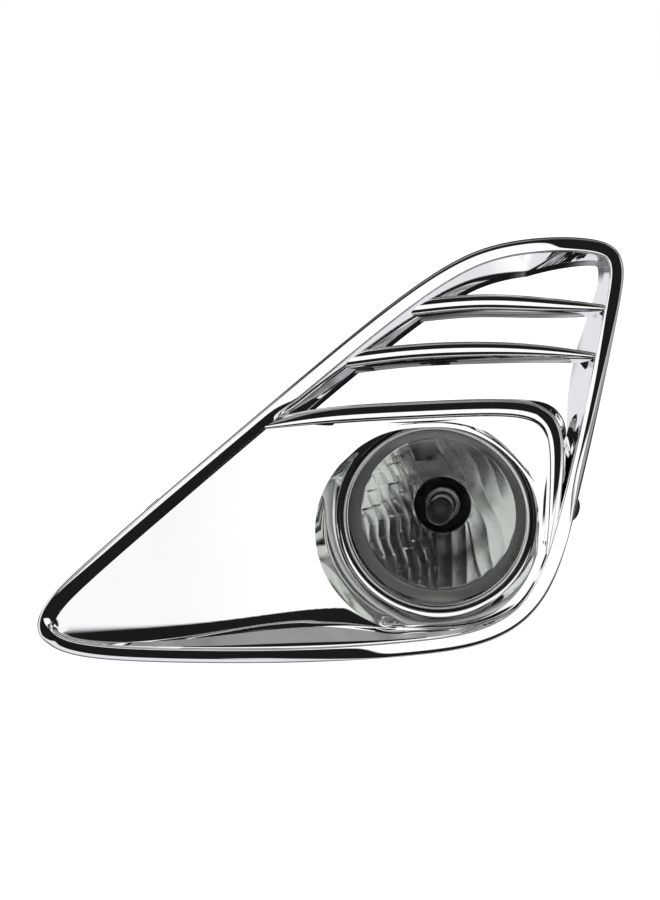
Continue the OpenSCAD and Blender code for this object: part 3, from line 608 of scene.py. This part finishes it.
def build_cell_wall():
    t = np.linspace(BROW_START - 0.4, BROW_END, CELL_SAMPLES)
    edge, normal = closed_spline(OUTLINE, t), outline_normal(t)
    fade = np.clip((82 - edge[:, 0]) / 40, 0, 1)
    lean = CELL_LEAN[0] + CELL_LEAN[1] * fade * np.maximum(0, -normal[:, 1])
    lower = np.clip((110 - edge[:, 1]) / 55, 0, 1)
    toe = CELL_TOE[0] + CELL_TOE[1] * np.maximum(0, -normal[:, 0]) ** 2 * lower
    beside_lamp = smooth(t, *BESIDE_LAMP)
    lean, toe = lean - beside_lamp, toe * (1 - beside_lamp)
    depth = CELL_DEPTH - LAMP_RECESS * beside_lamp
    inner = np.full(len(t), BEAD_W - 0.6)
    start = 0.9 + 2.2 * (1 - smooth(t, 3.95, 4.3))
    u = np.stack([inner, BEAD_W + lean, BEAD_W + lean + toe], axis=1)
    v = np.stack([start, 0 * t + 8, depth], axis=1)
    upper, lower = np.linspace(0, 0.96, 9), np.linspace(0, 1, 9)
    weights = np.vstack([
        np.stack([1 - upper, upper, 0 * upper], axis=1),
        np.stack([0 * lower, 1 - lower, lower], axis=1),
    ])
    grid = rim_points(t, u @ weights.T, v @ weights.T)
    obj = ring_solid("louver_cell_wall_chrome", to_row(thickened(grid, SHELL_T * 0.8, False)), CHROME, False)
    return fit(obj, "bezel_and_bracket", "bezel_chrome", "louver_cell_wall")


# The blades' section: [height over the centre line, depth behind the face], with the front from the top
# edge to the bottom one and the back up again. The brow's section: [distance from its line towards the
# lamp, depth behind the face], with the front from the outer side to the lamp's side and the back returning.
BLADE_FRONT = [
    (4.8, 10), (4.7, 7.5), (4.55, 5.2), (4.2, 3.9), (3.4, 3.45), (1.9, 3.05),
    (0.6, 2.75), (-1.4, 2.8), (-3.0, 4.4), (-4.2, 7), (-6.2, 14),
]
BLADE_BACK = [(-5, 15), (-3, 10.5), (-1, 7.5), (2.6, 9.4), (4.2, 10)]
BROW_FRONT = [
    (-4, 14), (-4.2, 9), (-4.2, 5), (-4.1, 3.1), (-3.7, 2.4), (-2.6, 1.95),
    (-1.3, 1.5), (0.0, 1.1), (1.2, 0.85), (2.8, 0.8), (3.9, 1.4), (4.2, 3.5),
    (3.8, 6),
]
BROW_BACK = [(2.2, 6), (0.5, 4.8), (-1.6, 6), (-2.2, 10), (-2.2, 14)]
SECTION_SAMPLES = 30
BLADE_SAMPLES = 90
BROW_SAMPLES = 240
# How much thinner a blade is at its right end.
BLADE_TAPER = 0.55
# How far the rear of the brow's outer side flares at its corner, and the brow position of that corner.
BROW_FLARE = 4
BROW_CORNER = 4.8


def closed_section(front, back):
    weights = spline_weights(len(front), SECTION_SAMPLES)
    rear = spline_weights(len(back), SECTION_SAMPLES) @ np.array(back, float)
    return np.concatenate([weights @ np.array(front, float), rear])


def build_blade(name, ctrl, node):
    t = np.linspace(0, len(ctrl) - 1, BLADE_SAMPLES)
    mid = open_spline(ctrl, t)
    thin = 1 - BLADE_TAPER * (np.maximum(0, t - 1.2) / 1.8) ** 2
    section = closed_section(BLADE_FRONT, BLADE_BACK)
    rings = np.stack([
        np.tile(mid[:, :1], (1, len(section))),
        face_y(mid)[:, None] + section[None, :, 1],
        mid[:, 1:] + np.outer(thin, section[:, 0]),
    ], axis=-1)
    obj = ring_solid(name, to_row(rings), CHROME, False)
    return fit(obj, "bezel_and_bracket", "bezel_chrome", node)


def build_brow():
    t = np.linspace(0, len(BROW) - 1, BROW_SAMPLES)
    section = closed_section(BROW_FRONT, BROW_BACK)
    flare = -BROW_FLARE * np.exp(-((t - BROW_CORNER) ** 2))
    outer = np.clip((-3.3 - section[:, 0]) / 0.6, 0, 1) * np.clip((section[:, 1] - 7) / 6, 0, 1)
    size = brow_size(t)[:, None]
    u = size * section[None, :, 0] + np.outer(flare, outer)
    rings = offset_points(open_spline(BROW, t), brow_normal(t), u, np.tile(section[:, 1], (len(t), 1)))
    obj = ring_solid("brow_chrome", to_row(rings), CHROME, False)
    return fit(obj, "bezel_and_bracket", "bezel_chrome", "brow_louver")


build_rim()
build_panel()
build_cell_wall()
build_blade("upper_louver_chrome", LOUVER_UPPER, "louver_upper")
build_blade("lower_louver_chrome", LOUVER_LOWER, "louver_lower")
build_brow()

# ---------------------------------------------------------------- lamp
# The reflector's paraboloid, its hole for the bulb, its front edge and the flange round that.
FOCUS_DEPTH = 22.4
FOCAL_LENGTH = 15.0
HOLE_R = 14.0
WINDOW_R = 37.5
REFLECTOR_T = 1.5
FLANGE_DEPTH = 11.7
# Flutes on the left, on the right and below the bulb: their width, and how far they stand out.
BUSY_FLUTES = (4.6, 0.2)
WAVY_FLUTES = (8.5, 0.2)
LOWER_FLUTES = (7.4, 0.16)


def reflector_depth(r):
    return FOCUS_DEPTH + FOCAL_LENGTH - r * r / (4 * FOCAL_LENGTH)


def hashed(i, j):
    """A fixed value from 0 to 1 for each cell."""
    value = np.sin(i * 12.9898 + j * 78.233) * 43758.5453
    return value - np.floor(value)


def scallops(x, width, height):
    """A row of round ridges."""
    s = x / width - np.floor(x / width)
    return height * (1 - (2 * s - 1) ** 2)


def flutes(x, z):
    """How far the reflector's flutes stand out of the paraboloid."""
    left = smooth(-x - 0.2 * z, 7.5, 8.3)
    right = smooth(x + 0.3 * z, 9.0, 9.8)
    middle = 1 - left - right
    across = x + 0.26 * z + 0.7 * np.sin(z * 0.3)
    column = np.floor(across / BUSY_FLUTES[0])
    along = z / 8 + hashed(column, 3.0)
    row = np.floor(along)
    tilt = (hashed(column, row) - 0.5) * 0.5 * (along - row - 0.5) + (hashed(row, column) - 0.5) * 0.12
    busy = scallops(across, *BUSY_FLUTES) + tilt
    wavy = scallops(x + 0.42 * z + np.sin(z * 0.2), *WAVY_FLUTES)
    bands = scallops(x + 0.1 * z + 4.4, *LOWER_FLUTES) * smooth(-z, 0, 3)
    facet = smooth(z, 22.5, 23) * (1 - smooth(np.abs(x + 6), 10, 10.5)) * 0.5 * (z - 23)
    return left * busy + right * wavy + middle * bands + facet * middle


def build_reflector():
    angles = np.linspace(0, 2 * math.pi, 420, endpoint=False)
    radii = np.linspace(HOLE_R, WINDOW_R, 64)
    r, a = np.meshgrid(radii, angles)
    x, z = r * np.cos(a), r * np.sin(a)
    fade = smooth(r, HOLE_R, HOLE_R + 1.0) * (1 - smooth(r, WINDOW_R - 0.7, WINDOW_R))
    depth = reflector_depth(r) - fade * flutes(x, z)
    front = np.stack([x, depth, z], axis=-1)
    back = np.stack([x, reflector_depth(r) + REFLECTOR_T, z], axis=-1)[:, ::-1]
    rings = np.concatenate([front, back], axis=1)
    faces = grid_faces(*rings.shape[:2], True, True)
    obj = make_object("reflector_fluted", lamp_row(rings.reshape(-1, 3)), faces, MIRROR, 25)
    return fit(obj, "lamp_head", "reflector_mirror", "reflector")


def build_reflector_flange():
    """The grey ring between the reflector's front edge and the lens's skirt."""
    start = FLANGE_DEPTH
    outer = LENS_R - 1.35
    profile = [
        (WINDOW_R, start + 2.6), (WINDOW_R, start + 0.6), (WINDOW_R + 0.3, start + 0.1),
        (WINDOW_R + 0.8, start), (outer - 0.4, start), (outer, start + 0.2), (outer, start + 0.5),
        (WINDOW_R + 0.8, start + 0.6), (WINDOW_R + 0.6, start + 2.6),
    ]
    return fit(turned_solid("reflector_flange", profile, FLANGE_GREY), "lamp_head", "reflector_mirror")


def build_lens():
    dome, thickness = 2.0, 3.0
    flat_r = LENS_R - 1.2
    share = np.linspace(0, 1, 24)
    front = [(flat_r * s, -dome * (1 - s * s)) for s in share]
    corner = [(LENS_R - 0.75, 0.2), (LENS_R - 0.3, 0.55), (LENS_R - 0.05, 1.0), (LENS_R, 1.5)]
    skirt = [(LENS_R, 12.5), (LENS_R - 1.2, 12.5), (LENS_R - 1.2, 4.4), (LENS_R - 1.7, 3.4)]
    back = [((flat_r - 0.9) * s, thickness - dome * (1 - s * s)) for s in share[::-1]]
    obj = turned_solid("lens_clear", front + corner + skirt + back, LENS_GLASS)
    return fit(obj, "lamp_head", "lens_glass", "lens")


def build_lens_edge_highlight():
    """A ring at the lens's edge, painted near white as the edge's highlight."""
    profile = [
        (LENS_R - 1.25, 0.25), (LENS_R - 0.8, 0.1), (LENS_R - 0.35, 0.35), (LENS_R + 0.05, 0.9),
        (LENS_R + 0.05, 2.2), (LENS_R - 1.25, 2.2),
    ]
    return fit(turned_solid("lens_edge_highlight", profile, LENS_EDGE_HIGHLIGHT), "lamp_head", "lens_glass")


def build_bulb_collar():
    """The bulb's metal collar, seen down the reflector's hole."""
    profile = [
        (6.4, 35.2), (7.0, 34.7), (8.0, 34.7), (8.4, 35.1), (8.4, 37.0), (6.4, 37.0),
    ]
    return fit(turned_solid("bulb_collar", profile, STEEL), "bulb", "plated_steel")


build_reflector()
build_reflector_flange()
build_lens()
build_lens_edge_highlight()
build_bulb_collar()

# ---------------------------------------------------------------- CAD nodes that stay, with their materials
NODE_MATERIALS = {
    "snap_tabs": CHROME_BACK, "spring_clips": SPRING, "screw_bosses": CHROME_BACK, "bracket_screws": STEEL,
    "lamp_bracket": BLACK_PLASTIC, "ear_sleeves": STEEL, "pivot_bushes": NYLON,
    "lamp_housing": HOUSING_PLASTIC, "pivot_pins": STEEL, "vent_boot": RUBBER, "lens_seal": RUBBER,
    "adjuster_screw": ZINC, "adjuster_retainer": SPRING, "adjuster_nut": NYLON,
    "bulb_base": BULB_PLASTIC, "bulb_seal": SEAL_RED, "bulb_terminals": BRASS,
    "bulb_glass": BULB_GLASS, "bulb_tip": TIP_COAT, "bulb_filament": FILAMENT,
}
for node_name, node_material in NODE_MATERIALS.items():
    node_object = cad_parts[node_name]
    node_object.data.materials.clear()
    node_object.data.materials.append(node_material)

# ---------------------------------------------------------------- studio
# Light from the white studio and from the dark cards in it.
WHITE = 1.08
DARK = 0.012
# The studio's faint tint: a third of it ahead on the left, all of it beside, over, under and behind.
LILAC = (0.74, 0.735, 0.765, 1)
# Half the floor's width, in metres.
FLOOR_HALF = 3.0


def direction_part(tree, direction, axis):
    node = add_node(tree, "ShaderNodeVectorMath", {0: direction, 1: tuple(axis)}, operation="DOT_PRODUCT")
    return node.outputs["Value"]


def math_node(tree, operation, a, b=0.0):
    return add_node(tree, "ShaderNodeMath", {0: a, 1: b}, operation=operation).outputs[0]


def above(tree, value, edge, soft=2.0):
    """1 where value is over the edge, 0 below it, with a soft change between."""
    return add_node(tree, "ShaderNodeMapRange", {
        "Value": value, "From Min": edge - soft / 2, "From Max": edge + soft / 2,
    }, interpolation_type="SMOOTHSTEP").outputs["Result"]


def below(tree, value, edge, soft=2.0):
    return math_node(tree, "SUBTRACT", 1.0, above(tree, value, edge, soft))


def product(tree, *values):
    result = values[0]
    for value in values[1:]:
        result = math_node(tree, "MULTIPLY", result, value)
    return result


def noise_along(tree, direction, scale):
    mapping = add_node(tree, "ShaderNodeMapping", {"Vector": direction, "Scale": scale})
    return add_node(tree, "ShaderNodeTexNoise", {
        "Vector": mapping.outputs["Vector"], "Scale": 1.0, "Detail": 3.0,
    }).outputs["Fac"]


def build_world():
    """A white studio with dark cards, which the chrome mirrors. Directions are in the bezel's frame."""
    world = bpy.data.worlds.new("studio")
    bpy.context.scene.world = world
    world.use_nodes = True
    tree = world.node_tree
    tree.nodes.clear()
    direction = add_node(tree, "ShaderNodeTexCoord").outputs["Generated"]
    x, y, z = (direction_part(tree, direction, BEZEL_AXES[:, k]) for k in range(3))
    front = math_node(tree, "MULTIPLY", y, -1.0)
    azimuth = math_node(tree, "MULTIPLY", math_node(tree, "ARCTAN2", x, front), 180 / math.pi)
    height = math_node(tree, "MULTIPLY", math_node(tree, "ARCSINE", z), 180 / math.pi)
    right_shift = math_node(tree, "MULTIPLY", above(tree, x, 0.1, 0.1), 0.25)
    in_front = below(tree, math_node(tree, "ADD", y, right_shift), -0.05, 0.04)
    # Cards before the part, by degrees of azimuth from straight ahead and of height.
    low_card = product(
        tree, below(tree, height, -13), above(tree, height, -76),
        below(tree, azimuth, 100), above(tree, azimuth, -120),
    )
    left_card = product(tree, below(tree, azimuth, -40), below(tree, height, 20))
    right_card = product(
        tree, above(tree, azimuth, 38), below(tree, azimuth, 68),
        above(tree, height, -4), below(tree, height, 62),
    )
    high_card = product(tree, above(tree, height, 25), below(tree, height, 48), above(tree, azimuth, -55))
    cards = math_node(tree, "MAXIMUM", low_card, left_card)
    cards = math_node(tree, "MAXIMUM", math_node(tree, "MAXIMUM", cards, right_card), high_card)
    cards = product(tree, cards, in_front)
    # What is above, below, beside and behind, by direction.
    streaks = remap(tree, noise_along(tree, direction, (1.5, 1.5, 16)), 0.45, 1.0, 0.4, 0.6)
    ceiling = product(tree, above(tree, z, 0.735, 0.03), above(tree, y, -0.7, 0.05))
    over_back = product(tree, above(tree, z, 0.4, 0.1), above(tree, y, 0.02, 0.06))
    side = product(tree, above(tree, azimuth, 70, 5), above(tree, height, -30, 5))
    low_back = product(
        tree, above(tree, x, 0.12, 0.05), above(tree, y, 0.36, 0.05), below(tree, z, -0.1, 0.05),
    )
    under = product(tree, above(tree, y, 0.6, 0.1), below(tree, z, 0.1, 0.06))
    ceiling_shade = math_node(tree, "MULTIPLY", streaks, 0.38)
    under_shade = math_node(tree, "MULTIPLY", streaks, 0.35)
    side_shade = math_node(tree, "MULTIPLY", streaks, 0.6)
    shades = (
        (cards, DARK), (ceiling, ceiling_shade), (under, under_shade),
        (side, side_shade), (low_back, DARK), (over_back, DARK),
    )
    level = WHITE
    for mask, shade in shades:
        level = add_node(tree, "ShaderNodeMix", {"Factor": mask, "A": level, "B": shade}).outputs["Result"]
    lilac = product(tree, below(tree, azimuth, -12, 20), above(tree, azimuth, -48, 20))
    lilac = math_node(tree, "MAXIMUM", math_node(tree, "MULTIPLY", lilac, 0.35), above(tree, y, -0.25, 0.1))
    tint = add_node(tree, "ShaderNodeMix", {
        "Factor": lilac, "A": (1, 1, 1, 1), "B": LILAC,
    }, data_type="RGBA")
    studio = add_node(tree, "ShaderNodeBackground", {"Color": tint.outputs["Result"], "Strength": level})
    plain = add_node(tree, "ShaderNodeBackground", {"Color": (1, 1, 1, 1), "Strength": 1.0})
    path = add_node(tree, "ShaderNodeLightPath")
    mix = add_node(tree, "ShaderNodeMixShader", {
        0: path.outputs["Is Camera Ray"], 1: studio.outputs[0], 2: plain.outputs[0],
    })
    output = add_node(tree, "ShaderNodeOutputWorld")
    tree.links.new(mix.outputs[0], output.inputs["Surface"])


def build_floor():
    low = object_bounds()[0]
    corners = [(-1, -1), (1, -1), (1, 1), (-1, 1)]
    verts = [(FLOOR_HALF * x, FLOOR_HALF * y, low.z) for x, y in corners]
    material, tree, shader = new_material("pale_floor")
    patches = noise(tree, 3.0)
    pale = varied_colour(tree, patches, (0.93, 0.93, 0.93), (0.95, 0.95, 0.95))
    tree.links.new(pale, shader.inputs["Base Color"])
    shader.inputs["Roughness"].default_value = 0.9
    shader.inputs["Emission Color"].default_value = (1, 1, 1, 1)
    shader.inputs["Emission Strength"].default_value = 1.0
    floor = make_object("floor", verts, [(0, 1, 2, 3)], material)
    floor.visible_glossy = False
    floor.visible_transmission = False


# Distance of the camera from the bezel, and the point of the bezel's frame in the middle of the view.
CAMERA_DISTANCE = 1800.0
CAMERA_AIM = (-50.9, 0, 33.1)


def build_camera():
    """Looks straight along the bezel's own depth axis, so the bezel is seen square on."""
    data = bpy.data.cameras.new("camera")
    data.lens = 150
    data.sensor_width = 36
    data.clip_end = 20
    camera = bpy.data.objects.new("camera", data)
    place = Vector(to_row(np.array(CAMERA_AIM) - (0, CAMERA_DISTANCE, 0)))
    turn = Matrix(BEZEL_AXES.tolist()) @ Matrix.Rotation(math.radians(90), 3, "X")
    camera.matrix_world = Matrix.Translation(place) @ turn.to_4x4()
    bpy.context.scene.collection.objects.link(camera)
    bpy.context.scene.camera = camera


build_world()
build_floor()
build_camera()
bpy.context.scene.view_settings.view_transform = "Standard"
